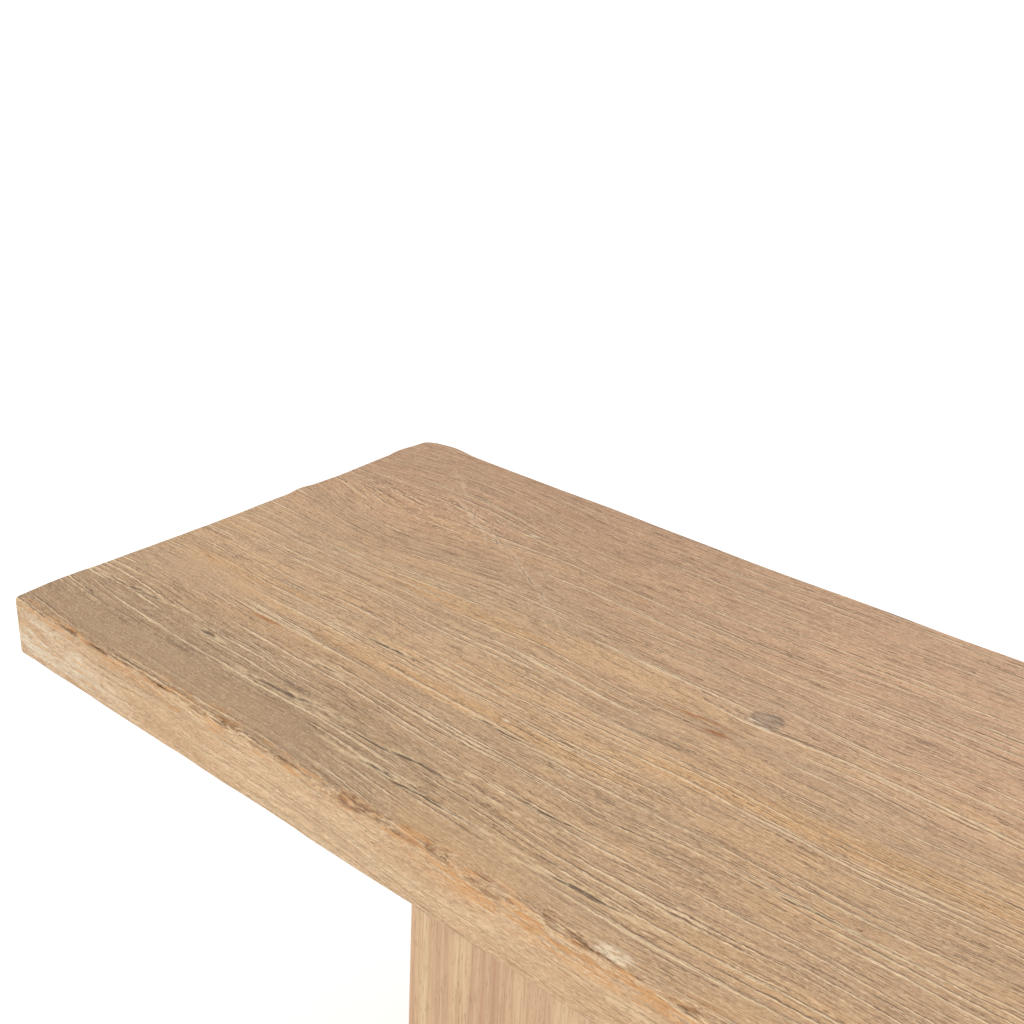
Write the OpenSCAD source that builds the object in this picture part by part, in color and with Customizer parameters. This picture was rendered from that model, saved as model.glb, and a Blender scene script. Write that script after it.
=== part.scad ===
// Backless bench: one solid seat plank on two hollow pedestal legs of mitred boards.
// Origin: on the floor, under the middle of the seat. +X along the seat, front side at -Y, +Z up.

/* [Overall] */
// Length of the seat plank
seat_l = 1830; // [1300:10:2400]
// Depth of the seat plank, front to back
seat_w = 400; // [320:5:520]
// Height of the seat's top above the floor
bench_h = 457; // [380:1:560]

/* [Seat plank] */
// Thickness of the seat plank
seat_t = 43; // [36:1:60]
// Plan radius of the plank's corners
seat_corner_r = 8; // [2:1:25]

/* [Legs] */
// From the plank's end to the leg's outer face
leg_inset = 353; // [60:1:440]
// Length of a leg along the seat
leg_l = 180; // [150:1:260]
// How far a leg's front and back faces stand back from the plank's sides
leg_recess = 2; // [0:0.5:12]
// Thickness of the leg boards
board_t = 28; // [24:1:36]
// Radius worn on the leg's upright edges
arris_r = 8; // [2:0.5:12]

/* [Splines and glue blocks] */
// Thickness of a mitre spline
spline_t = 4; // [3:0.5:5]
// Width of a mitre spline, across the joint
spline_w = 18; // [12:1:20]
// From the mitre's inner corner to the middle of the spline
spline_in = 16; // [14:0.5:18]
// Side of a corner glue block
glue_block_s = 26; // [18:1:30]
// Height of a corner glue block
glue_block_h = 200; // [80:5:215]

/* [Cleats and foot rails] */
// Thickness of the cleats and foot rails, along the seat
cleat_t = 30; // [26:1:36]
// Height of the cleats and foot rails
cleat_h = 40; // [34:1:46]
// Height of the foot rails above the boards' lower ends
rail_up = 20; // [10:1:30]
// From a cleat's end to its first side screw
screw_end = 32; // [20:1:45]

/* [Fasteners] */
// Diameter of the cleat and rail screws
side_screw_d = 5; // [4:0.5:6]
// Length of a cleat or rail screw that is in the board
side_bite = 18; // [12:1:20]
// Diameter of the seat screws
seat_screw_d = 6; // [5:0.5:8]
// Length of a seat screw that is in the seat
seat_bite = 24; // [18:1:32]
// Clearance round a seat screw in its cleat and washer, on the diameter
screw_play = 0.5; // [0.2:0.1:1]
// How far a slot lets its seat screw travel
slot_travel = 6; // [2:0.5:7]
// Outer diameter of the seat washers
washer_d = 20; // [18:0.5:24]
// Thickness of the seat washers
washer_t = 1.6; // [1:0.1:2.5]

/* [Glides] */
// Diameter of a glide
glide_d = 22; // [18:1:24]
// Thickness of a glide
glide_t = 5; // [4:0.5:8]
// From the leg's outer or inner face to the middle of a glide
glide_in = 42; // [36:1:60]
// Diameter of a glide's nail
nail_d = 2.2; // [1.6:0.1:3]
// Length of the nail in the board
nail_bite = 15; // [10:1:25]

/* [Hidden] */
$fn = 64;
// Clearance on each side of a piece in the hole or groove cut for it
fit_gap = 0.05;
// How far a cut runs past the face that it opens
over = 1;
// Depth left past a screw's or nail's point in its pilot hole
pilot_spare = 2;

leg_w = seat_w - 2 * leg_recess;
leg_x = seat_l / 2 - leg_inset - leg_l / 2;
board_z = glide_t;
seat_z = bench_h - seat_t;
board_h = seat_z - board_z;
inner_l = leg_l - 2 * board_t;
inner_w = leg_w - 2 * board_t;
cleat_z = seat_z - cleat_h;
rail_z = board_z + rail_up;
glue_block_z = (rail_z + cleat_h + cleat_z - glue_block_h) / 2;

// The side screws share a cleat's length evenly, and the seat screws stand midway between them.
side_pitch = (inner_w - 2 * screw_end) / 3;
side_screw_ys = [for (i = [-1.5, -0.5, 0.5, 1.5]) i * side_pitch];
seat_screw_ys = [for (i = [-1, 0, 1]) i * side_pitch];

side_screw_l = cleat_t + side_bite;
side_head_d = 2 * side_screw_d;
side_head_h = side_screw_d / 2;
seat_screw_l = washer_t + cleat_h + seat_bite;
seat_head_d = 2 * seat_screw_d;
seat_head_h = 0.6 * seat_screw_d;
seat_hole_d = seat_screw_d + screw_play;
// Width of a screw's hexagon socket and its depth, as shares of the screw's diameter
socket_across = 0.6;
socket_deep = 0.4;

glide_chamfer = 1;
nail_head_d = 8;
nail_head_h = 1;
// Nylon under and over a nail's head
nail_cover = 1.5;

SIDES = ["left", "right"];
// Each end or corner of a leg: its name, then its sign in X and, at a corner, in Y
ENDS = [["outer", -1], ["inner", 1]];
CORNERS = [["front_outer", -1, -1], ["front_inner", 1, -1], ["back_outer", -1, 1], ["back_inner", 1, 1]];
LEG_PIECES = concat(
    ["front_board", "back_board", "outer_board", "inner_board"],
    [for (c = CORNERS) str("spline_", c[0])],
    [for (c = CORNERS) str("glue_block_", c[0])],
    [for (e = ENDS) str(e[0], "_cleat")],
    [for (e = ENDS) str(e[0], "_foot_rail")],
    ["cleat_screws", "rail_screws", "seat_screws", "seat_washers", "glides", "glide_nails"]);

// A leg is drawn about its own middle with its outer face at -X. The right leg mirrors the left.
module at_leg(side)
    mirror([side == "right" ? 1 : 0, 0, 0])
        translate([-leg_x, 0, 0]) children();

module rounded_rect(l, w, r) {
    square([l - 2 * r, w], center = true);
    square([l, w - 2 * r], center = true);
    for (x = [-1, 1], y = [-1, 1])
        translate([x * (l / 2 - r), y * (w / 2 - r)]) circle(r);
}

// A round hole, lengthened along Y by travel
module slot(d, travel, h) {
    for (y = travel > 0 ? [-travel / 2, travel / 2] : [0])
        translate([0, y, 0]) cylinder(h = h, d = d);
    if (travel > 0)
        translate([-d / 2, -travel / 2, 0]) cube([d, travel, h]);
}

// Fasteners stand along +Z with their points up, and z = 0 where the head meets what it holds.
module countersunk_screw(gap = 0, spare = 0) {
    r = side_screw_d / 2 + gap;
    end = side_screw_l + spare;
    rotate_extrude()
        polygon([[0, 0], [side_head_d / 2 + gap, 0], [r, side_head_h], [r, end - side_screw_d], [0, end]]);
}

module pan_screw() {
    r = seat_screw_d / 2;
    head_r = seat_head_d / 2;
    edge = seat_head_h / 3;
    rotate_extrude()
        polygon([[0, -seat_head_h], [head_r - edge, -seat_head_h], [head_r, edge - seat_head_h],
                 [head_r, 0], [r, 0], [r, seat_screw_l - seat_screw_d], [0, seat_screw_l]]);
}

// A nail with its head in the middle of the glide's thickness, which z = 0 is the underside of
module nail(gap = 0, spare = 0) {
    r = nail_d / 2 + gap;
    head_r = nail_head_d / 2 + gap;
    low = nail_cover - gap;
    high = nail_cover + nail_head_h + gap;
    end = glide_t + nail_bite + spare;
    rotate_extrude()
        polygon([[0, low], [head_r, low], [head_r, high], [r, high], [r, end - nail_d], [0, end]]);
}

// A hexagon socket for a screw of diameter d, sunk upwards from z = 0
module socket(d)
    translate([0, 0, -over]) cylinder(h = socket_deep * d + over, d = socket_across * d, $fn = 6);

// Places for the fasteners. Side screws point out of the leg through the outer and inner boards,
// from the faces of the cleats or rails whose lower side is at z.
module at_side_screws(z)
    for (sx = [-1, 1], y = side_screw_ys)
        translate([sx * (inner_l / 2 - cleat_t), y, z + cleat_h / 2])
            rotate([0, sx * 90, 0]) children();

module at_seat_screws()
    for (sx = [-1, 1], y = seat_screw_ys)
        translate([sx * (inner_l - cleat_t) / 2, y, cleat_z - washer_t]) children();

module at_glides()
    for (sx = [-1, 1], sy = [-1, 1])
        translate([sx * (leg_l / 2 - glide_in), sy * (leg_w - board_t) / 2, 0]) children();

// Stands its children at a mitre's inner corner, with +X towards the outer corner.
module at_mitre(sx, sy)
    translate([sx * inner_l / 2, sy * inner_w / 2, 0])
        rotate(atan2(sy, sx)) children();

module side_screw_ways(z)
    at_side_screws(z) {
        countersunk_screw(fit_gap, pilot_spare);
        translate([0, 0, -over]) cylinder(h = over, d = side_head_d + 2 * fit_gap);
    }

// The middle screw of a cleat has a round hole. The outer two have slots across the plank, so
// that it can swell and shrink.
module seat_screw_ways()
    for (sx = [-1, 1], y = seat_screw_ys)
        translate([sx * (inner_l - cleat_t) / 2, y, cleat_z - over])
            slot(seat_hole_d, y == 0 ? 0 : slot_travel, cleat_h + 2 * over);

module spline_blank(gap, past)
    translate([spline_in, 0, board_z + board_h / 2])
        cube([spline_t + 2 * gap, spline_w + 2 * gap, board_h + 2 * past], center = true);

// Plan of a board along X, with its outer face at -across / 2 and its ends mitred
module mitred_plan(along, across) {
    x = along / 2;
    y = across / 2;
    polygon([[-x, -y], [x, -y], [x - board_t, board_t - y], [board_t - x, board_t - y]]);
}

// A leg board: turn brings its outer face round to its side. The children are its screw holes.
module leg_board(along, across, turn)
    difference() {
        translate([0, 0, board_z]) linear_extrude(board_h)
            intersection() {
                rotate(turn) mitred_plan(along, across);
                rounded_rect(leg_l, leg_w, arris_r);
            }
        for (c = CORNERS)
            at_mitre(c[1], c[2]) spline_blank(fit_gap, over);
        children();
    }

// The front or back board, where turn is 0 or 180
module long_board(turn)
    color("#d1ad8c") leg_board(leg_l, leg_w, turn) at_glides() nail(fit_gap, pilot_spare);

// The outer or inner board, where turn is -90 or 90
module end_board(turn)
    color("#cda987") leg_board(leg_w, leg_l, turn) {
        side_screw_ways(cleat_z);
        side_screw_ways(rail_z);
    }

module spline(sx, sy)
    color("#b98f62") at_mitre(sx, sy) spline_blank(0, 0);

module glue_block(sx, sy) {
    s = glue_block_s;
    outline = [[0, 0], [s, 0], [s, s / 2], [s / 2, s], [0, s]];
    color("#d9bf93")
        translate([sx * inner_l / 2, sy * inner_w / 2, glue_block_z])
            linear_extrude(glue_block_h)
                polygon([for (p = outline) [-sx * p[0], -sy * p[1]]]);
}

module rail_blank(sx, z)
    translate([sx * (inner_l - cleat_t) / 2, 0, z + cleat_h / 2])
        cube([cleat_t, inner_w, cleat_h], center = true);

module cleat(sx)
    color("#dcc08f")
        difference() {
            rail_blank(sx, cleat_z);
            side_screw_ways(cleat_z);
            seat_screw_ways();
        }

module foot_rail(sx)
    color("#dcc08f")
        difference() {
            rail_blank(sx, rail_z);
            side_screw_ways(rail_z);
        }

module side_screws(z)
    color("silver")
        at_side_screws(z) difference() {
            countersunk_screw();
            socket(side_screw_d);
        }

module seat_screws()
    color("silver")
        at_seat_screws() difference() {
            pan_screw();
            translate([0, 0, -seat_head_h]) socket(seat_screw_d);
        }

module seat_washers()
    color("gainsboro")
        at_seat_screws() difference() {
            cylinder(h = washer_t, d = washer_d);
            translate([0, 0, -over]) cylinder(h = washer_t + 2 * over, d = seat_hole_d);
        }

module glides()
    color("#4a4038")
        at_glides() difference() {
            rotate_extrude()
                polygon([[0, 0], [glide_d / 2 - glide_chamfer, 0], [glide_d / 2, glide_chamfer],
                         [glide_d / 2, glide_t], [0, glide_t]]);
            nail(fit_gap, pilot_spare);
        }

module glide_nails()
    color("silver") at_glides() nail();

module seat_plank()
    color("#c39c7c")
        difference() {
            translate([0, 0, seat_z]) linear_extrude(seat_t)
                rounded_rect(seat_l, seat_w, seat_corner_r);
            for (side = SIDES)
                at_leg(side) at_seat_screws()
                    cylinder(h = seat_screw_l + pilot_spare, d = seat_screw_d + 2 * fit_gap);
        }

seat_plank();
for (side = SIDES) {
    at_leg(side) long_board(0);
    at_leg(side) long_board(180);
    at_leg(side) end_board(-90);
    at_leg(side) end_board(90);
    for (c = CORNERS) {
        at_leg(side) spline(c[1], c[2]);
        at_leg(side) glue_block(c[1], c[2]);
    }
    for (e = ENDS) {
        at_leg(side) cleat(e[1]);
        at_leg(side) foot_rail(e[1]);
    }
    at_leg(side) side_screws(cleat_z);
    at_leg(side) side_screws(rail_z);
    at_leg(side) seat_screws();
    at_leg(side) seat_washers();
    at_leg(side) glides();
    at_leg(side) glide_nails();
}
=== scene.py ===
"""Looks of the backless bench: brushed reclaimed elm, seen from above near its left end.

The wood's own code works in millimetres. On the seat plank x runs from the left end, y from the
front side and z from the top, downwards negative. Meshes are turned to metres when they are built.
"""
import functools
import math
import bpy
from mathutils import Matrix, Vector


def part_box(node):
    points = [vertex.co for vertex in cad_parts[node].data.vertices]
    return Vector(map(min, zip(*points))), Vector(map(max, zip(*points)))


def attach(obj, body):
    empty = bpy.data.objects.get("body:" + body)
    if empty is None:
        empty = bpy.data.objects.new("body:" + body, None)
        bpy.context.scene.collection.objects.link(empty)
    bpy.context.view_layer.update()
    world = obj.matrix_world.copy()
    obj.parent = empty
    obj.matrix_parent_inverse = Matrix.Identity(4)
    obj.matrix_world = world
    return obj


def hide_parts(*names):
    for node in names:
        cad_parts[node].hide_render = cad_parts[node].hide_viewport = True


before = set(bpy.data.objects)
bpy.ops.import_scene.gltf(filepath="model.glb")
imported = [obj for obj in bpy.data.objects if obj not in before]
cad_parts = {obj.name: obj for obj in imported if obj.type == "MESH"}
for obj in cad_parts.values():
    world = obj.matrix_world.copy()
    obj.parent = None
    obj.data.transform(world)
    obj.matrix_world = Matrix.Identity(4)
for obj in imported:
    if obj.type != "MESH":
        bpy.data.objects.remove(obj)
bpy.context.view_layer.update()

import types

import bpy
import numpy as np
from mathutils import Matrix, Vector

MM = 0.001

SEAT_LOW, SEAT_HIGH = (np.array(corner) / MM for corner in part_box("seat_plank"))
SEAT_L, SEAT_W, SEAT_T = SEAT_HIGH - SEAT_LOW
# The plank's left front corner at its top, in the row frame's millimetres: the plank's own zero
SEAT_ZERO = (SEAT_LOW[0], SEAT_LOW[1], SEAT_HIGH[2])


# ---------------------------------------------------------------- small tools

def bumps(t, shapes):
    """Sums smooth bumps along t. Each is its middle, its half width and its height."""
    return sum(height * np.exp(-((t - middle) / half) ** 2) for middle, half, height in shapes)


def smoothstep(low, high, t):
    s = np.clip((t - low) / (high - low), 0, 1)
    return s * s * (3 - 2 * s)


def noise(seed, *axes):
    """Smooth value noise from -1 to 1, with one lump per unit along each axis. The large numbers
    stir each lattice point's place into a random one, the same on every run."""
    axes = np.broadcast_arrays(*[np.asarray(a, float) for a in axes])
    cells = [np.floor(a).astype(np.int64) for a in axes]
    eases = [smoothstep(0, 1, a - c) for a, c in zip(axes, cells)]
    primes = (73856093, 19349663, 83492791)
    low_bits = 0xFFFFFFFF
    total = np.zeros(axes[0].shape)
    for corner in range(2 ** len(axes)):
        mixed = np.full(axes[0].shape, seed * 7919 + 12345, np.int64)
        weight = np.ones(axes[0].shape)
        for k, (cell, ease) in enumerate(zip(cells, eases)):
            step = corner >> k & 1
            mixed = (mixed ^ ((cell + step) * primes[k])) & low_bits
            weight = weight * (ease if step else 1 - ease)
        mixed = ((mixed ^ (mixed >> 13)) * 1274126177) & low_bits
        mixed = ((mixed ^ (mixed >> 16)) * 1597334677) & low_bits
        mixed = mixed ^ (mixed >> 15)
        total += weight * (mixed / (low_bits // 2) - 1)
    return total


def linear(hexed):
    """An sRGB hex colour as linear red, green, blue and alpha."""
    parts = [int(hexed[i:i + 2], 16) / 255 for i in (1, 3, 5)]
    return [p / 12.92 if p <= 0.04045 else ((p + 0.055) / 1.055) ** 2.4 for p in parts] + [1.0]


def add(tree, kind, inputs=None, out=0, stops=None, **settings):
    """Adds a node, sets it, links or fills its inputs, and returns one of its outputs."""
    made = tree.nodes.new("ShaderNode" + kind)
    for name, value in settings.items():
        setattr(made, name, value)
    for key, value in (inputs or {}).items():
        if isinstance(value, bpy.types.NodeSocket):
            tree.links.new(value, made.inputs[key])
        else:
            made.inputs[key].default_value = value
    if stops:
        ramp = made.color_ramp.elements
        while len(ramp) < len(stops):
            ramp.new(1.0)
        for element, (place, colour) in zip(ramp, stops):
            element.position = place
            element.color = linear(colour)
    return made.outputs[out]


def new_material(name, **settings):
    """An empty material, the function that adds a node to it, and its principled shader."""
    material = bpy.data.materials.new(name)
    material.use_nodes = True
    shader = material.node_tree.nodes["Principled BSDF"]
    for socket, value in settings.items():
        shader.inputs[socket].default_value = value
    return material, functools.partial(add, material.node_tree), shader


def finish_material(material, shader, colour, height, depth_mm, rubbed, rough, smooth):
    """Joins a colour, a height of 0 to 1 that stands for depth_mm, and a roughness to the shader. The
    roughness goes from rough to smooth with a pattern, rubbed."""
    node = functools.partial(add, material.node_tree)
    bump = node("Bump", {"Height": height, "Distance": depth_mm * MM, "Strength": 1.0})
    roughness = node("MapRange", {"Value": rubbed, "From Min": 0.3, "From Max": 0.7,
                                  "To Min": rough, "To Max": smooth}, interpolation_type="SMOOTHSTEP")
    for socket, value in (("Base Color", colour), ("Normal", bump), ("Roughness", roughness)):
        material.node_tree.links.new(value, shader.inputs[socket])
    return material


def share(node, most, *masks):
    """How much of something shows: the most there is of it, times its masks. A mask is a socket, or a
    value, its readings where the mask is least and where it is 1, and that least, which is usually 0."""
    made = most
    for mask in masks:
        if isinstance(mask, tuple):
            value, none, full, least = (*mask, 0.0)[:4]
            mask = node("MapRange", {"Value": value, "From Min": none, "From Max": full,
                                     "To Min": least}, interpolation_type="SMOOTHSTEP")
        made = node("Math", {0: made, 1: mask}, operation="MULTIPLY")
    return made


def coats(node, colour, layers):
    """Lays colours over a first one, in turn. A layer is its hex colour or colour socket, the most of
    it that shows, and its masks."""
    for over, most, *masks in layers:
        over = linear(over) if isinstance(over, str) else over
        colour = node("Mix", {"Factor": share(node, most, *masks), 6: colour, 7: over}, out=2,
                      data_type="RGBA")
    return colour


def heights(node, parts):
    """A relief from patterns and how high each stands."""
    total = 0.0
    for pattern, high in parts:
        total = node("Math", {0: pattern, 1: high, 2: total}, operation="MULTIPLY_ADD")
    return total


# ---------------------------------------------------------------- wood

# The zero of patterns that need not start at a board's corner
ROW_ZERO = (0, 0, 0)
# A spot's size through a board: so large that the spot is the same at every depth
EVERY_DEPTH = 1e5


def board_place(node, zero, order):
    """A point of a board in millimetres from its zero: along the grain, across it and through it."""
    place = node("TexCoord", out="Object")
    millimetres = node("VectorMath", {0: place, 1: (1 / MM,) * 3, 2: tuple(-v for v in zero)},
                       operation="MULTIPLY_ADD")
    axes = node("SeparateXYZ", {0: millimetres}).node.outputs
    return node("CombineXYZ", {k: axes[axis] for k, axis in enumerate(order)})


def grain_lines(node, place, size, seed, detail=1.0, rough=0.5):
    """Noise from 0 to 1 whose lumps have this size in millimetres along, across and through."""
    scaled = node("VectorMath", {0: place, 1: tuple(1 / s for s in size),
                                 2: (seed * 3.7, seed * 1.3, seed)}, operation="MULTIPLY_ADD")
    return node("TexNoise", {"Vector": scaled, "Scale": 1.0, "Detail": detail, "Roughness": rough})


def swayed(node, place, sways):
    """Moves a place as the grain wanders. A sway is the size of its lumps, how far it pushes, its seed
    and its detail."""
    moved = place
    for size, push, seed, detail in sways:
        shove = grain_lines(node, place, size, seed, detail).node.outputs["Color"]
        moved = node("VectorMath", {0: shove, 1: push, 2: moved}, operation="MULTIPLY_ADD")
    return moved


def ring_place(node, sway, pith, along, through):
    """A place among the growth rings: along the grain, out from the pith, and through the board."""
    off_pith = node("VectorMath", {0: sway, 1: (0, 1, 1), 2: pith}, operation="MULTIPLY_ADD")
    ring = node("VectorMath", {0: off_pith}, out="Value", operation="LENGTH")
    return node("CombineXYZ", {"X": along, "Y": ring, "Z": through})


def nearest(node, place, spots):
    """How near a place is to the nearest of some flat ovals: 0 at its middle and 1 on its rim.
    A spot is its x, y, half length, half width and turn in degrees."""
    near = None
    for x, y, half_long, half_wide, turn in spots:
        inside = node("Mapping", {"Vector": place, "Location": (x, y, 0),
                                  "Rotation": (0, 0, math.radians(turn)),
                                  "Scale": (half_long, half_wide, EVERY_DEPTH)}, vector_type="TEXTURE")
        reach = node("VectorMath", {0: inside}, out="Value", operation="LENGTH")
        near = reach if near is None else node("Math", {0: near, 1: reach}, operation="MINIMUM")
    return near


def ragged(node, place, jitter, reach):
    """A place shaken across the grain by a noise, so that what is drawn there has a ragged rim."""
    shift = node("Math", {0: jitter, 1: reach, 2: -reach / 2}, operation="MULTIPLY_ADD")
    return node("VectorMath", {0: place, 1: node("CombineXYZ", {"Y": shift})}, operation="ADD")


# ---------------------------------------------------------------- the seat's elm

# Knots in the seat's top: x, y, half length, half width, turn
KNOTS = [(437, 222, 9.5, 8, 0), (1216, 128, 10, 8, 20), (1570, 292, 7, 6, 0)]
# Where the seat's grain bends round a knot or a lost branch: x, y, reach along, reach across, push
SWIRLS = [(437, 222, 40, 20, 0.45), (100, 300, 95, 62, 0.62), (1216, 128, 60, 34, 0.7),
          (1570, 292, 45, 26, 0.6), (800, 330, 90, 30, 0.4)]
SWIRL_DEPTH = 200
# Checks that have opened along the grain of the seat's top
CHECKS = [(45, 63, 27, 0.8, 4), (126, 59, 7, 1.1, 0), (209, 47, 24, 1.2, 5), (208, 83, 8, 1.0, 0),
          (300, 48, 44, 0.8, 4), (304, 32, 13, 1.0, 6), (335, 30, 30, 0.6, 0), (328, 105, 22, 0.7, 0),
          (225, 126, 30, 0.6, 2), (441, 28, 19, 0.9, 4), (402, 64, 30, 0.5, 2), (520, 92, 34, 0.5, 2),
          (700, 52, 40, 0.9, 2), (905, 236, 36, 0.8, 0), (1130, 70, 32, 1.0, -2), (1402, 196, 44, 0.9, 1),
          (1655, 88, 34, 1.0, -3), (1742, 300, 28, 0.8, 0)]
# Where a branch once left the trunk: thin lines slanting across the grain
BRANCH_LINES = [(118, 322, 30, 0.6, -39), (172, 289, 38, 0.7, -26), (230, 258, 30, 0.8, -33),
                (1262, 170, 44, 0.8, -28)]
# Bits of pale filler
FILLS = [(430, 216, 4, 1.2, 10), (440, 213, 4, 1.1, 0), (384, 98, 3, 1.0, 0), (325, 115, 2.6, 1.4, 0),
         (186, 317, 5, 1.6, 0), (1216, 118, 7, 1.6, 0), (1571, 285, 5, 1.4, 0)]
# Brown streaks
STREAKS = [(422, 189, 9, 2.2, 6), (139, 96, 13, 1.6, 3), (402, 196, 30, 1.2, 4), (980, 300, 26, 1.6, 0),
           (1480, 60, 22, 2.0, 0), (640, 168, 24, 1.4, 2)]
# Cream fibre torn up at the front edge
TORN_PATCHES = [(478, 6, 13, 5, 2), (1392, 5, 14, 5, 0)]
# The polished strip along the front of the top
POLISHED = [(150, 20, 150, 15, 0), (386, 16, 66, 9, 2), (640, 16, 110, 11, 0), (1010, 18, 210, 13, 0),
            (1480, 20, 190, 15, 0), (70, 110, 50, 16, 0)]
# Honey-coloured bands
HONEY = [(300, 111, 150, 8, 2), (520, 150, 150, 10, 6), (215, 197, 105, 9, 0), (1300, 160, 300, 12, 0),
         (860, 90, 200, 9, -2), (90, 130, 70, 7, 3)]
# Weathered grey patches
GREYED = [(140, 34, 330, 52, 0), (1100, 60, 260, 46, 0)]
# Lime left in the grain of the front face at the left end
LIMED = [(0, 0, 140, 100, 0)]
# Iron stain under the front edge
STAINED = [(448, 0, 80, 11, 0), (1400, 0, 160, 8, 0)]

# The size in millimetres of the grain's short bends, and of its late-wood lines
SHIVER = (26, 14, 14)
LATE_WOOD = (190, 2.3, 80)
# How far behind its late wood a ring's dark furrow lies. The furrow's colour is partly the dark early wood
# and partly painted shade, set on the side of each ridge away from the window
FURROW_SHADE_GAP = 0.6
# Where the pith lay: under the front of the plank, so the rings are flat there and close up behind
SEAT_PITH = (0, 56, 72)
# The grain leans to the front side near the left end: how far, and over what length and width
LEAN = 18
LEAN_LENGTH = 400
LEAN_WIDTH = 230


def seat_grain(node, place, axes):
    """Moves a place on the seat to where its fibre would be if the grain ran dead straight. It sways,
    turns aside at knots and leans to the front side near the left end."""
    sway = swayed(node, place, [((210, 120, 120), (0, 26, 8), 1, 1.5), (SHIVER, (0, 1.4, 1.2), 2, 1),
                                ((5, 2.5, 2.5), (0, 1.3, 1.3), 12, 2)])
    for x, y, reach_long, reach_wide, push in SWIRLS:
        scale = (1 / reach_long, 1 / reach_wide, 1 / SWIRL_DEPTH)
        off = node("VectorMath", {0: place, 1: scale, 2: (-x / reach_long, -y / reach_wide, 0)},
                   operation="MULTIPLY_ADD")
        near = node("VectorMath", {0: off, 1: off}, out="Value", operation="DOT_PRODUCT")
        fade = node("Math", {0: math.exp(-1), 1: near}, operation="POWER")
        aside = node("VectorMath", {0: off, "Scale": fade}, operation="SCALE")
        sway = node("VectorMath", {0: aside, 1: (0, -push * reach_wide, 0), 2: sway},
                    operation="MULTIPLY_ADD")
    bow = node("Math", {0: axes[0], 1: 1 / LEAN_LENGTH}, operation="MULTIPLY")
    bow = node("Math", {0: bow}, operation="SINE")
    lean = share(node, LEAN, (axes[1], LEAN_WIDTH, 0, 0.1), bow)
    return node("VectorMath", {0: sway, 1: node("CombineXYZ", {"Y": lean})}, operation="ADD")


def seat_patterns(node):
    """The patterns that the seat's colours and relief share. Their sizes are in millimetres."""
    g = types.SimpleNamespace()
    g.place = board_place(node, SEAT_ZERO, (0, 1, 2))
    g.axes = node("SeparateXYZ", {0: g.place}).node.outputs
    g.sway = seat_grain(node, g.place, g.axes)
    g.rings = ring_place(node, g.sway, SEAT_PITH, g.axes[0], g.axes[2])
    ring_on_shade_side = node("VectorMath", {0: g.rings, 1: (0, -FURROW_SHADE_GAP, 0)}, operation="ADD")
    g.late_wood = grain_lines(node, g.rings, LATE_WOOD, 4, 2.5, 0.62)
    shade_side_early_wood = grain_lines(node, ring_on_shade_side, LATE_WOOD, 4, 2.5, 0.62)
    g.fibre = grain_lines(node, g.sway, (60, 1.3, 1.3), 5, 2, 0.6)
    g.hair = grain_lines(node, g.sway, (11, 0.5, 0.5), 6)
    g.grit = grain_lines(node, g.sway, (2.6, 0.5, 0.5), 13)
    g.slit = grain_lines(node, g.sway, (44, 1.0, 1.0), 14, 1.5, 0.7)
    g.shiver = grain_lines(node, g.place, SHIVER, 2)
    g.patch = grain_lines(node, g.place, (120, 46, 46), 8, 2)
    g.chip = grain_lines(node, g.place, (9, 2.2, 2.2), 9, 2.5, 0.65)
    g.rust = grain_lines(node, g.place, (22, 3, 3), 15, 2.5, 0.65)

    normal = node("NewGeometry", out="Normal")
    g.upward = node("SeparateXYZ", {0: normal}, out="Z")
    g.top = share(node, 1, (g.upward, 0.35, 0.85))
    yz = node("VectorMath", {0: g.place, 1: (0, 1, 1)}, operation="MULTIPLY")
    g.off_edge = node("VectorMath", {0: yz}, out="Value", operation="LENGTH")
    # Hands and clothes have polished the strip along the front, where the lines hardly show
    g.polished = nearest(node, ragged(node, g.place, g.patch, 26), POLISHED)
    g.lined = share(node, 1, (g.polished, 0.7, 1.25, 0.2))
    g.pale_line = share(node, 1, (g.late_wood, 0.56, 0.62))
    # The dark furrow: partly dark early wood and partly painted shade, drawn on the side of each late-wood
    # ridge away from the window
    g.dark_line = share(node, 1, (shade_side_early_wood, 0.565, 0.61), (g.hair, 0.3, 0.52, 0.35))
    g.slits = share(node, 1, (g.slit, 0.38, 0.32), g.lined)
    g.check = nearest(node, ragged(node, g.place, g.shiver, 5), CHECKS)
    return g


def seat_top_colour(node, g):
    """Ring bands of honey, taupe and pink-brown, greyer in patches where it has weathered."""
    ring_tone = grain_lines(node, g.rings, (620, 17, 60), 3, 2)
    shaded = share(node, 1, (g.axes[1], 150, 380), (g.axes[0], 650, 150, 0.4))
    honey = nearest(node, ragged(node, g.place, g.fibre, 5), HONEY)
    grey = nearest(node, ragged(node, g.place, g.patch, 40), GREYED)
    colour = node("ValToRGB", {"Fac": ring_tone}, stops=[
        (0.28, "#A5845F"), (0.42, "#B38E67"), (0.50, "#BA946D"), (0.60, "#BF986D"), (0.74, "#C39E70")])
    return coats(node, colour, [
        ("#A2876B", 0.4, (g.patch, 0.35, 0.62)),
        ("#A67D60", 0.75, shaded),
        ("#C69C80", 0.4, (g.axes[1], 100, 300), (g.axes[0], 200, 600)),
        ("#BF925F", 0.55, (honey, 1.05, 0.65)),
        ("#927759", 0.75, (grey, 1.1, 0.4)),
        ("#87674B", 0.5, (g.fibre, 0.48, 0.34), g.lined),
        ("#CDAC84", 0.45, (g.fibre, 0.56, 0.72), g.lined),
        # Dark furrow beside each pale ridge: partly early wood, partly painted shade
        ("#674B37", 0.85, g.dark_line, g.lined),
        ("#5E4432", 0.6, g.slits),
        ("#D6BA94", 0.8, g.pale_line, g.lined, (shaded, 1, 0, 0.625))])


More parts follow.
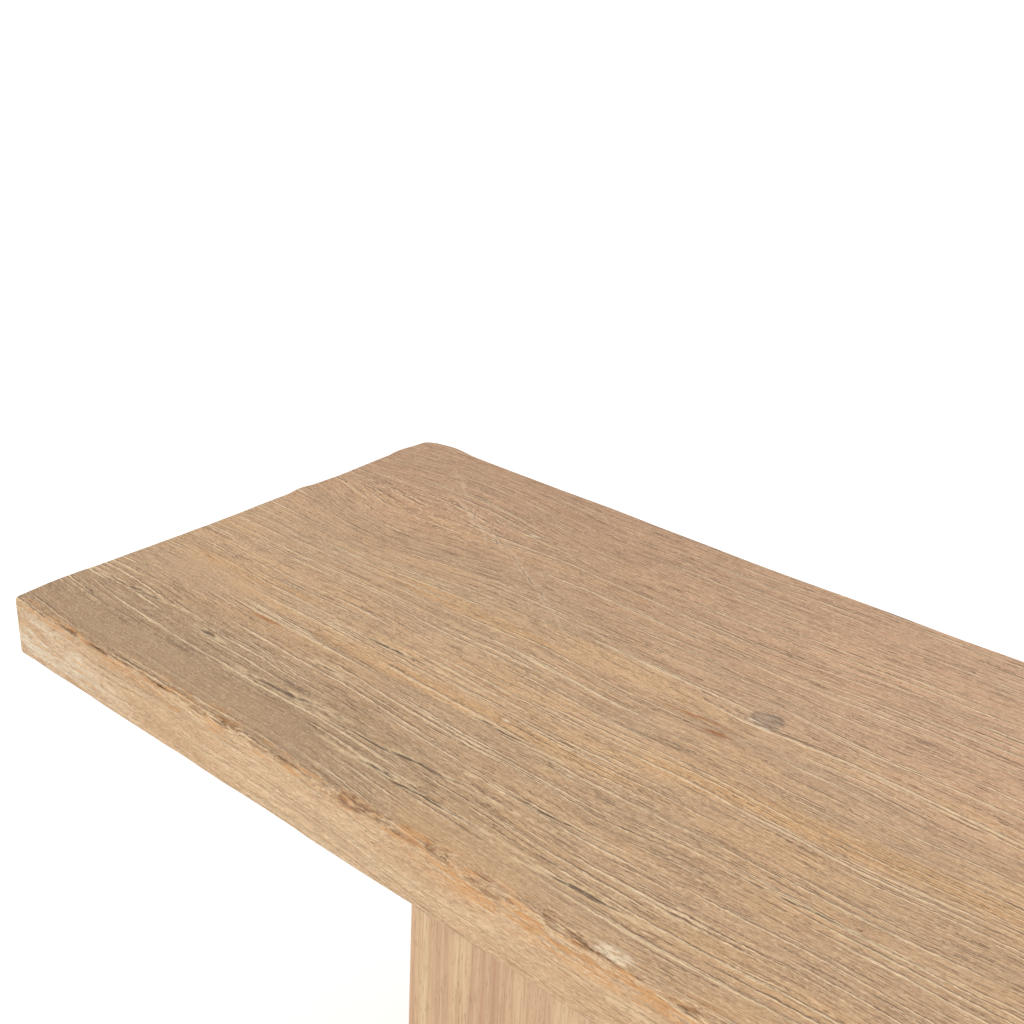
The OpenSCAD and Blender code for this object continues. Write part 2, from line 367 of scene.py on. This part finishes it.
def seat_side_colour(node, g):
    """The side faces were sawn and sanded when the plank was cut to size, so they are cleaner and
    warmer. The saw went a little across the grain and left short streaks that slant over them."""
    slanted = node("Mapping", {"Vector": g.sway, "Rotation": (0, math.radians(-6), 0)})
    streaks = grain_lines(node, slanted, (15, 1.2, 1.0), 10, 3.5, 0.7)
    cloud = grain_lines(node, slanted, (70, 20, 10), 11, 2)
    limed = nearest(node, ragged(node, g.place, cloud, 60), LIMED)
    stain = nearest(node, ragged(node, g.place, g.chip, 8), STAINED)
    colour = node("ValToRGB", {"Fac": cloud}, stops=[(0.3, "#AD8A64"), (0.5, "#B89671"), (0.7, "#C1A27D")])
    return coats(node, colour, [
        ("#987552", 0.3, (streaks, 0.48, 0.34)),
        ("#D3BC99", 0.26, (streaks, 0.55, 0.70)),
        # Dark furrows on the sides too: partly early wood, partly painted shade
        ("#86643F", 0.5, g.dark_line),
        ("#D8C3A0", 0.25, g.pale_line),
        ("#C6B9A3", 0.75, (limed, 1.0, 0.3), (cloud, 0.38, 0.55), (g.rust, 0.4, 0.56)),
        ("#B87F40", 0.75, (stain, 1.5, 0.5), (g.off_edge, 22, 9), (g.rust, 0.42, 0.56))])


def seat_fine_grain(node, g, colour):
    """Hair-fine fibres, grit and short dark pores, which show on every face."""
    pores = grain_lines(node, g.sway, (8, 0.8, 0.8), 7, 0.5)
    rubbed = share(node, 1, (g.polished, 0.6, 1.2, 0.5))
    return coats(node, colour, [
        ("#6E523C", 0.38, (g.hair, 0.50, 0.32), rubbed),
        ("#E2C8A4", 0.26, (g.hair, 0.54, 0.70), rubbed),
        ("#6E513A", 0.28, (g.grit, 0.48, 0.30)),
        ("#E4CCA8", 0.28, (g.grit, 0.54, 0.72)),
        ("#7C5B3F", 0.4, (pores, 0.66, 0.74))])


def seat_edge_colour(node, g, colour, edge):
    """The worn front edge: torn fibre, some pale and some stained by old iron, and painted shade of darker
    brown in the deepest pits.
    """
    pit_depth_shade = node("Attribute", out="Fac", attribute_name="torn")
    return coats(node, colour, [
        ("#D6BB90", 0.4, edge, (g.chip, 0.54, 0.68)),
        ("#B98249", 0.55, edge, (g.rust, 0.51, 0.63)),
        # Painted shade: darker brown where the torn pits are deepest
        ("#815835", 0.65, (pit_depth_shade, 0.75, 1.6), (g.chip, 0.62, 0.42)),
        ("#5E4330", 0.5, edge, (g.chip, 0.35, 0.30))])


def seat_marks(node, g, colour):
    """Streaks, knots, the lines that a branch left, filler, torn fibre, and open checks with pale lips."""
    shaken = ragged(node, g.place, g.chip, 5)
    branch = nearest(node, ragged(node, g.place, g.shiver, 9), BRANCH_LINES)
    streak, knot = nearest(node, shaken, STREAKS), nearest(node, shaken, KNOTS)
    fill, torn = nearest(node, shaken, FILLS), nearest(node, shaken, TORN_PATCHES)
    return coats(node, colour, [
        ("#9A6232", 0.8, (streak, 1.4, 0.3), g.top),
        ("#8B7968", 0.6, (knot, 1.25, 0.6), g.top),
        ("#6F5D4E", 0.6, (knot, 1.1, 0.8), (g.chip, 0.52, 0.42), g.top),
        ("#6E5A48", 0.8, (knot, 0.6, 0.95), (knot, 1.25, 0.95), (g.chip, 0.55, 0.42), g.top),
        ("#D9C0A0", 0.2, (branch, 3.4, 1.4), g.top),
        ("#6B5646", 0.65, (branch, 1.5, 0.4), (g.chip, 0.6, 0.48), g.top),
        ("#DCCBB2", 0.6, (fill, 1.3, 0.4)),
        ("#DFCDAF", 0.7, (torn, 1.2, 0.3), (g.chip, 0.38, 0.56)),
        ("#DCC198", 0.45, (g.check, 3.6, 1.6), (g.chip, 0.42, 0.55), g.top),
        ("#553F2F", 0.85, (g.check, 1.4, 0.4), (g.chip, 0.66, 0.5), g.top)])


def brushed_elm():
    """The seat: old elm, wire-brushed and matt-oiled. The brush takes the soft early wood and leaves
    each ring's late wood standing as a thin pale ridge beside a dark furrow, coloured partly as the early
    wood and partly as painted shade behind the ridge."""
    material, node, shader = new_material("brushed_reclaimed_elm", IOR=1.5)
    g = seat_patterns(node)
    band = node("Math", {0: g.patch, 1: 14, 2: g.off_edge}, operation="MULTIPLY_ADD")
    edge = share(node, 1, (band, 19, 12))
    colour = coats(node, seat_side_colour(node, g), [(seat_top_colour(node, g), 1, g.top)])
    colour = seat_fine_grain(node, g, colour)
    colour = seat_edge_colour(node, g, colour, edge)
    colour = seat_marks(node, g, colour)
    # Late wood stands half a millimetre above the furrows, and the sawn sides are flatter
    grain = heights(node, [(g.late_wood, 1.1), (g.fibre, 0.5), (g.hair, 0.25), (g.slits, -0.5)])
    grain = share(node, 1, grain, (g.upward, 0.35, 0.85, 0.4))
    torn = share(node, 1.6, g.chip, edge)
    opened = share(node, 1, (g.check, 1.3, 0.5), g.top)
    height = heights(node, [(grain, 1), (torn, 1), (opened, -1.2)])
    return finish_material(material, shader, colour, height, 0.9, g.fibre, 0.78, 0.6)


# ---------------------------------------------------------------- the other woods, steel and nylon

def planed_elm(name, zero, order, pith, seed):
    """A leg board: newer elm, planed and lightly brushed, with straight upright grain in pink-tan and
    yellowish bands and short dark pores."""
    material, node, shader = new_material(name, IOR=1.5)
    place = board_place(node, zero, order)
    sway = swayed(node, place, [((330, 90, 90), (0, 9, 5), seed, 1)])
    axes = node("SeparateXYZ", {0: sway}).node.outputs
    rings = ring_place(node, sway, (0, *pith), axes[0], axes[2])
    ring_tone = grain_lines(node, rings, (600, 13, 70), seed + 1, 2)
    late_wood = grain_lines(node, rings, (240, 3.2, 80), seed + 2, 1.5)
    fibre = grain_lines(node, sway, (70, 1.3, 1.3), seed + 3, 2)
    fine = grain_lines(node, sway, (14, 0.6, 0.6), seed + 4)
    pores = grain_lines(node, sway, (5, 0.8, 0.8), seed + 5, 0.5)
    colour = node("ValToRGB", {"Fac": ring_tone}, stops=[
        (0.30, "#AA8767"), (0.45, "#B3906F"), (0.55, "#B99876"), (0.72, "#C0A47E")])
    colour = coats(node, colour, [
        ("#A07B5C", 0.4, (late_wood, 0.50, 0.34)),
        ("#C5AB8B", 0.4, (late_wood, 0.54, 0.70)),
        ("#9C7759", 0.4, (fibre, 0.5, 0.34)),
        ("#8B694C", 0.3, (fine, 0.5, 0.32)),
        ("#78593D", 0.5, (pores, 0.66, 0.76))])
    height = heights(node, [(late_wood, 0.5), (fibre, 0.4), (fine, 0.2)])
    return finish_material(material, shader, colour, height, 0.3, fibre, 0.7, 0.55)


def planed_pine(name, order):
    """Cleats, rails and glue blocks: planed softwood, pale yellow with wide orange late-wood lines and
    faint cutter marks across them."""
    material, node, shader = new_material(name, IOR=1.5)
    place = board_place(node, ROW_ZERO, order)
    sway = swayed(node, place, [((160, 40, 40), (0, 8, 8), 31, 1)])
    rings = grain_lines(node, sway, (260, 4.5, 4.5), 32)
    fine = grain_lines(node, sway, (24, 0.8, 0.8), 33, 2)
    cutter_marks = grain_lines(node, place, (2.2, 60, 60), 34)
    colour = node("ValToRGB", {"Fac": rings}, stops=[(0.35, "#E3C694"), (0.55, "#DDB981"), (0.66, "#C58F55")])
    colour = coats(node, colour, [("#B58A58", 0.35, (fine, 0.5, 0.3))])
    height = heights(node, [(cutter_marks, 0.5), (fine, 0.5)])
    return finish_material(material, shader, colour, height, 0.3, fine, 0.8, 0.62)


def sawn_beech():
    """Splines: sawn beech, pinkish and close-grained with short dark ray flecks."""
    material, node, shader = new_material("sawn_beech", IOR=1.5)
    place = board_place(node, ROW_ZERO, (0, 1, 2))
    flecks = grain_lines(node, place, (1.6, 1.6, 5), 41)
    fine = grain_lines(node, place, (0.7, 0.7, 14), 42, 2)
    colour = node("ValToRGB", {"Fac": fine}, stops=[(0.3, "#C79C78"), (0.7, "#DDB894")])
    colour = coats(node, colour, [("#9C6F4E", 0.5, (flecks, 0.60, 0.70))])
    return finish_material(material, shader, colour, fine, 0.15, fine, 0.7, 0.55)


def zinc_plated_steel():
    """Screws, washers and nails: bright zinc plate, bluish, with drawn scratches and dull handling."""
    material, node, shader = new_material("zinc_plated_steel", Metallic=1.0)
    place = board_place(node, ROW_ZERO, (0, 1, 2))
    cloud = grain_lines(node, place, (5, 5, 5), 51, 3)
    scratch = grain_lines(node, place, (0.5, 0.5, 6), 52, 2)
    colour = node("ValToRGB", {"Fac": cloud}, stops=[(0.3, "#A9AEB2"), (0.6, "#C9CCCE"), (0.75, "#BFC0B6")])
    return finish_material(material, shader, colour, scratch, 0.05, cloud, 0.42, 0.25)


def moulded_nylon():
    """Glides: moulded nylon in dark brown, faintly mottled and scuffed matt where it slides."""
    material, node, shader = new_material("moulded_nylon", IOR=1.53)
    place = board_place(node, ROW_ZERO, (0, 1, 2))
    cloud = grain_lines(node, place, (6, 6, 6), 61, 2)
    scuff = grain_lines(node, place, (9, 0.8, 0.8), 62, 2)
    colour = node("ValToRGB", {"Fac": cloud}, stops=[(0.3, "#453A33"), (0.7, "#564A41")])
    return finish_material(material, shader, colour, scuff, 0.08, scuff, 0.6, 0.42)


# ---------------------------------------------------------------- the seat plank's shape

# How far each end's rim stands out, by y: middle, half width and height
LEFT_RIM = [(37, 26, 2.6), (76, 24, 0.8), (175, 44, -0.7), (252, 8, 2.0), (292, 22, -1.6),
            (366, 12, 2.0), (398, 12, -0.8)]
RIGHT_RIM = [(60, 30, 1.6), (150, 24, -1.2), (214, 8, 1.5), (300, 34, 1.4), (352, 9, -1.4)]
# How much the whole left end stands out, and how far in from an end its rim's shape dies away
LEFT_STANDS_OUT = 0.8
RIM_REACH = 45
# How far the back side stands out, by x: the corner's swell, and then a slow bow
BACK_SIDE = [(29, 18, 4.0), (335, 95, -2.2), (900, 200, 0.8), (1320, 160, -1.4)]
# How much more than usual the front top edge is worn, by x: most where people sit over the legs
FRONT_WEAR = [(207, 26, 3.0), (253, 20, 1.2), (318, 34, 4.2), (375, 30, 3.2), (420, 28, 6.0),
              (492, 20, -2.4), (535, 40, 2.6), (1010, 160, 3.0), (1290, 60, 3.4), (1440, 80, 5.0)]
# Torn pits on the front top edge: x, share of the way round it, half length, half height, depth
EDGE_PITS = [
    (58, 0.3, 9, 2.6, 2.1), (92, 0.45, 12, 2.4, 1.9), (152, 0.3, 10, 2.8, 2.0), (182, 0.55, 14, 3, 1.5),
    (212, 0.25, 11, 3, 2.0), (240, 0.5, 8, 2.4, 1.1), (262, 0.3, 9, 3, 1.7), (318, 0.35, 15, 4, 2.2),
    (352, 0.6, 12, 2.6, 1.3), (372, 0.3, 8, 3.2, 1.8), (404, 0.5, 13, 3.4, 1.5), (447, 0.35, 12, 3, 1.3),
    (478, 0.3, 20, 5, 2.2), (520, 0.5, 12, 3, 1.3), (610, 0.4, 16, 3, 1.6), (742, 0.3, 12, 3, 1.8),
    (866, 0.5, 14, 3, 1.2), (1003, 0.3, 18, 4, 2.0), (1148, 0.4, 12, 3, 1.4), (1262, 0.3, 15, 4, 2.0),
    (1391, 0.45, 20, 4, 2.2), (1498, 0.3, 12, 3, 1.5), (1640, 0.4, 14, 3, 1.7), (1741, 0.3, 10, 3, 1.4)]
# The usual way round the front top edge, in millimetres
EDGE_ROUND = 9
# A check's trough: how much wider than the check it is, and its depth
TROUGH_MARGIN = 1.2
TROUGH_DEPTH = 0.6
# Plan radii of the plank's corners: left front, left back, right front, right back
CORNERS = (4.0, 13.0, 9.0, 14.0)
END_ROUND = 3.0
# Radii of the long edges, before wear: top front, bottom front, bottom back and top back
EDGE_RADII = (3.4, 3.0, 2.0, 2.4)
SMALLEST_RADIUS = 0.3
# Where on a ring a point lies, beyond the front top edge's 0 to 1: on the top, below, or behind
ON_TOP, UNDER_EDGE, ELSEWHERE = -1.0, 2.0, 3.0


def corner_inset(from_end, radius):
    """How far a side stands in from its line, this far from a corner of this plan radius."""
    reach = np.clip(radius - from_end, 0, radius)
    return radius - np.sqrt(radius ** 2 - reach ** 2)


def plank_outline(inset, y_front, y_back, radii):
    """One cross section, as a closed ring of y, z and the share of the way round the front top edge.
    Points lie closest together on that edge and on the top beside it."""
    low, high = y_front + inset, y_back - inset
    top, bottom = -inset, inset - SEAT_T
    top_front, low_front, low_back, top_back = [max(r - inset, SMALLEST_RADIUS) for r in radii]
    front, front_foot, back_foot, back = [np.linspace(0, math.pi / 2, count, endpoint=False)
                                          for count in (12, 3, 3, 4)]
    across, down, under, up = (np.linspace(0, 1, count, endpoint=False) for count in (84, 14, 24, 9))
    across = 1 - (0.3 * (1 - across) + 0.7 * (1 - across) ** 2)
    parts = [
        (high - top_back + (low + top_front - high + top_back) * across, top, ON_TOP),
        (low + top_front - top_front * np.sin(front), top - top_front + top_front * np.cos(front),
         front / (math.pi / 2)),
        (low, top - top_front + (bottom + low_front - top + top_front) * down, 1.0 + down),
        (low + low_front - low_front * np.cos(front_foot),
         bottom + low_front - low_front * np.sin(front_foot), UNDER_EDGE),
        (low + low_front + (high - low_back - low - low_front) * under, bottom, ELSEWHERE),
        (high - low_back + low_back * np.sin(back_foot),
         bottom + low_back - low_back * np.cos(back_foot), ELSEWHERE),
        (high, bottom + low_back + (top - top_back - bottom - low_back) * up, ELSEWHERE),
        (high - top_back + top_back * np.cos(back), top - top_back + top_back * np.sin(back), ELSEWHERE)]
    return np.concatenate([np.column_stack(np.broadcast_arrays(*part)) for part in parts])


def plank_stations():
    """Where the plank's rings stand along it, and how much each is shrunk. The first and last few
    shrink to round and close the ends. They stand closest where the plank is most worn."""
    insets = [18.0, 12.0, 7.0, 4.0] + [END_ROUND * (1 - math.sin(a)) for a in np.linspace(0.1, 1.57, 5)]
    near = [max(END_ROUND - i, 0) for i in insets]
    ends = [(END_ROUND - math.sqrt(END_ROUND ** 2 - n ** 2), i) for n, i in zip(near, insets)]
    middle = np.concatenate([[4.2, 5.6, 7.2, 9.0, 11.0, 13.2, 15.6, 18.2, 21.0], np.linspace(24, 660, 310),
                             np.linspace(664.6, SEAT_L - 20, 250), SEAT_L - np.array([16, 12, 9, 6, 4.2])])
    return ends + [(x, 0.0) for x in middle] + [(SEAT_L - x, i) for x, i in ends[::-1]]


def plank_rings():
    """The plank's sound skin: rings of points from the left end to the right one, with x, y, z and
    the share round the front top edge."""
    rings = []
    for x, inset in plank_stations():
        y_front = (corner_inset(x, CORNERS[0]) + corner_inset(SEAT_L - x, CORNERS[2]) - 0.1
                   + 0.5 * noise(1, x / 75) + 0.3 * noise(2, x / 19))
        y_back = (SEAT_W + 1.0 + bumps(x, BACK_SIDE) + 0.35 * noise(3, x / 40)
                  - corner_inset(x, CORNERS[1]) - corner_inset(SEAT_L - x, CORNERS[3]))
        top_front, low_front, low_back, top_back = EDGE_RADII
        top_front = top_front + bumps(x, FRONT_WEAR) + 1.0 * noise(4, x / 30) + 0.5 * noise(5, x / 11)
        top_back = top_back + 0.8 * noise(6, x / 60)
        ring = plank_outline(inset, y_front, y_back, (top_front, low_front, low_back, top_back))
        rings.append(np.column_stack([np.full(len(ring), x), ring]))
    return np.array(rings)


def plank_weathering(points, way):
    """How deep the weather, the brush and wear have gone at each point, in millimetres, and how
    much of that is torn out of the front edge. way is the share round that edge."""
    x, y, z = points[..., 0], points[..., 1], points[..., 2]
    on_top = way < 0
    on_edge = (way >= 0) & (way <= 1.3)
    brushed = 0.25 + 0.25 * noise(7, x / 170, y / 48) + 0.16 * noise(8, x / 80, y / 11)
    sanded = 0.2 + 0.15 * noise(9, x / 90, z / 14, y / 90)
    depth = np.where(on_top, brushed, sanded)
    torn = 0.3 + 0.35 * noise(10, x / 17, way * 4) + 0.16 * noise(11, x / 5, way * 7)
    below_edge = np.where(way <= 1, 1.0, np.exp(-((way - 1) / 0.2) ** 2))
    torn = torn * np.where(on_top, np.exp(-(y / 12) ** 2), below_edge) * (way < UNDER_EDGE)
    depth = depth + torn
    for middle, turn, half_long, half_high, deep in EDGE_PITS:
        way_round = np.where(on_top, -y / EDGE_ROUND, way)
        pit = np.exp(-((x - middle) / half_long) ** 4 - ((way_round - turn) * EDGE_ROUND / half_high) ** 2)
        pit = deep * pit * (1 + 0.7 * noise(14, x / 4, way * 8)) * (on_top | on_edge)
        depth = depth + pit
        torn = torn + pit
    for middle, across, half_long, half_wide, _ in CHECKS:
        trough = np.exp(-((x - middle) / half_long) ** 4 - ((y - across) / (half_wide + TROUGH_MARGIN)) ** 2)
        depth = depth + TROUGH_DEPTH * trough * on_top
    return depth, torn


def outward_directions(points):
    """The unit direction out of the plank at each point of its rings."""
    along = np.gradient(points, axis=0)
    around = np.roll(points, -1, axis=1) - np.roll(points, 1, axis=1)
    outward = np.cross(along, around)
    outward /= np.linalg.norm(outward, axis=2, keepdims=True) + 1e-9
    half_way = len(points) // 2
    middle = np.array([SEAT_L / 2, SEAT_W / 2, -SEAT_T / 2])
    return outward * np.sign(np.sum(outward[half_way] * (points[half_way] - middle), axis=1).mean())


def tube_faces(rings, around):
    """Quads between closed rings of points, with a lid on the first and on the last."""
    faces = [(r * around + k, r * around + (k + 1) % around,
              (r + 1) * around + (k + 1) % around, (r + 1) * around + k)
             for r in range(rings - 1) for k in range(around)]
    faces.append(tuple(range(around - 1, -1, -1)))
    faces.append(tuple((rings - 1) * around + k for k in range(around)))
    return faces


def mesh_object(name, points, faces, material):
    """A smooth-shaded mesh from points in row-frame millimetres."""
    mesh = bpy.data.meshes.new(name)
    mesh.from_pydata([tuple(p) for p in np.asarray(points) * MM], [], faces)
    mesh.materials.append(material)
    mesh.polygons.foreach_set("use_smooth", [True] * len(mesh.polygons))
    mesh.validate()
    made = bpy.data.objects.new(name, mesh)
    bpy.context.scene.collection.objects.link(made)
    return made


def seat_plank(material):
    """The seat: a sound plank, worn down by the weathering, with an uneven rim at each end."""
    rings = plank_rings()
    points, way = rings[..., :3], rings[..., 3]
    x, y = points[..., 0], points[..., 1]
    at_end = np.minimum(smoothstep(0, 6, x), smoothstep(0, 6, SEAT_L - x))
    depth, torn = plank_weathering(points, way)
    points = points - outward_directions(points) * (depth * at_end)[..., None]
    left_rim = LEFT_STANDS_OUT + bumps(y, LEFT_RIM) + 0.3 * noise(12, y / 9)
    right_rim = bumps(y, RIGHT_RIM) + 0.3 * noise(13, y / 9)
    points[..., 0] -= left_rim * (1 - smoothstep(0, RIM_REACH, x))
    points[..., 0] += right_rim * (1 - smoothstep(0, RIM_REACH, SEAT_L - x))
    count, around = points.shape[:2]
    made = mesh_object("seat", points.reshape(-1, 3) + SEAT_ZERO, tube_faces(count, around), material)
    made.data.attributes.new("torn", "FLOAT", "POINT").data.foreach_set("value", torn.ravel())
    return made


# ---------------------------------------------------------------- the pieces and their finishes

def put_on_seat():
    """The weathered plank stands in for the plain one."""
    seat = seat_plank(brushed_elm())
    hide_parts("seat_plank")
    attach(seat, "root")


def leg_board_finishes():
    """Each leg board's own elm, by its node's name. A board's order says which of x, y and z run along
    its grain, across it and through it."""
    facing_y, facing_x = (2, 0, 1), (2, 1, 0)
    orders = {"front": facing_y, "back": facing_y, "outer": facing_x, "inner": facing_x}
    finishes = {}
    for leg, first_seed in (("left", 70), ("right", 110)):
        for k, (side, order) in enumerate(orders.items()):
            low = np.array(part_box(f"{leg}_{side}_board")[0]) / MM
            finishes[f"{leg}_{side}_board"] = planed_elm(
                f"planed_elm_{leg}_{side}", tuple(low), order, (60 + 9 * k, 70), first_seed + 7 * k)
    return finishes


def finish_nodes(nodes):
    """Gives every node that stays its finish, by the first of these words that its name holds."""
    pine_along_y = planed_pine("planed_pine_rails", (1, 0, 2))
    pine_upright = planed_pine("planed_pine_blocks", (2, 0, 1))
    beech = sawn_beech()
    steel = zinc_plated_steel()
    nylon = moulded_nylon()
    finishes = {"screws": steel, "washers": steel, "nails": steel, "glides": nylon, "spline": beech,
                "glue_block": pine_upright, "cleat": pine_along_y, "rail": pine_along_y}
    finishes.update(leg_board_finishes())
    for name, piece in nodes.items():
        finish = next((material for word, material in finishes.items() if word in name), None)
        if finish:
            for socket in piece.material_slots:
                socket.material = finish


# ---------------------------------------------------------------- floor, light and camera

FLOOR_RADIUS = 40.0
FLOOR_SIDES = 96
# The window stands behind the left shoulder of someone who looks at the front, and is tall and wide
WINDOW_AIM = (0.42, 0.78, -0.72)
WINDOW_SPREAD = math.radians(24)
WINDOW_STRENGTH = 1.5
# The eye is above the front side, and looks down along the bench towards its left end
EYE = (-0.203, -0.5864, 0.8858)
YAW, PITCH, ROLL = (math.radians(a) for a in (37.99, 25.03, -3.27))
LENS_MM = 45.81
FILM_MM = 36.0
NEAR_CLIP = 0.02


def lay_floor():
    """A matt white paper sweep, so large that its edge is out of sight."""
    material, node, shader = new_material("pale_paper_sweep", IOR=1.45)
    paper = grain_lines(node, board_place(node, ROW_ZERO, (0, 1, 2)), (40, 40, 40), 90, 3)
    colour = node("ValToRGB", {"Fac": paper}, stops=[(0.3, "#F9F9F9"), (0.7, "#FBFBFB")])
    finish_material(material, shader, colour, paper, 0.02, paper, 0.92, 0.88)
    turns = np.arange(FLOOR_SIDES) * 2 * math.pi / FLOOR_SIDES
    rim = np.column_stack([np.cos(turns), np.sin(turns), np.zeros(FLOOR_SIDES)]) * FLOOR_RADIUS
    mesh = bpy.data.meshes.new("floor")
    mesh.from_pydata([tuple(p) for p in rim], [], [tuple(range(FLOOR_SIDES))])
    mesh.materials.append(material)
    floor = bpy.data.objects.new("floor", mesh)
    bpy.context.scene.collection.objects.link(floor)


def light_studio():
    """A white room all round, and one high window for the soft shadow."""
    room = bpy.data.worlds.new("studio")
    room.use_nodes = True
    room.node_tree.nodes["Background"].inputs["Color"].default_value = linear("#FFFFFF")
    room.node_tree.nodes["Background"].inputs["Strength"].default_value = 1.0
    bpy.context.scene.world = room
    glow = bpy.data.lights.new("high_window", "SUN")
    glow.angle = WINDOW_SPREAD
    glow.energy = WINDOW_STRENGTH
    window = bpy.data.objects.new("high_window", glow)
    window.rotation_euler = Vector(WINDOW_AIM).to_track_quat("-Z", "Y").to_euler()
    bpy.context.scene.collection.objects.link(window)


def set_camera():
    ahead = Vector((-math.sin(YAW) * math.cos(PITCH), math.cos(YAW) * math.cos(PITCH), -math.sin(PITCH)))
    level = Vector((math.cos(YAW), math.sin(YAW), 0))
    below = ahead.cross(level)
    right = math.cos(ROLL) * level + math.sin(ROLL) * below
    down = -math.sin(ROLL) * level + math.cos(ROLL) * below
    lens = bpy.data.cameras.new("camera")
    lens.lens = LENS_MM
    lens.sensor_width = FILM_MM
    lens.clip_start = NEAR_CLIP
    camera = bpy.data.objects.new("camera", lens)
    turned = Matrix((right, -down, -ahead)).transposed().to_4x4()
    camera.matrix_world = Matrix.Translation(EYE) @ turned
    bpy.context.scene.collection.objects.link(camera)
    bpy.context.scene.camera = camera
    bpy.context.scene.view_settings.view_transform = "Standard"


put_on_seat()
finish_nodes(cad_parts)
lay_floor()
light_studio()
set_camera()
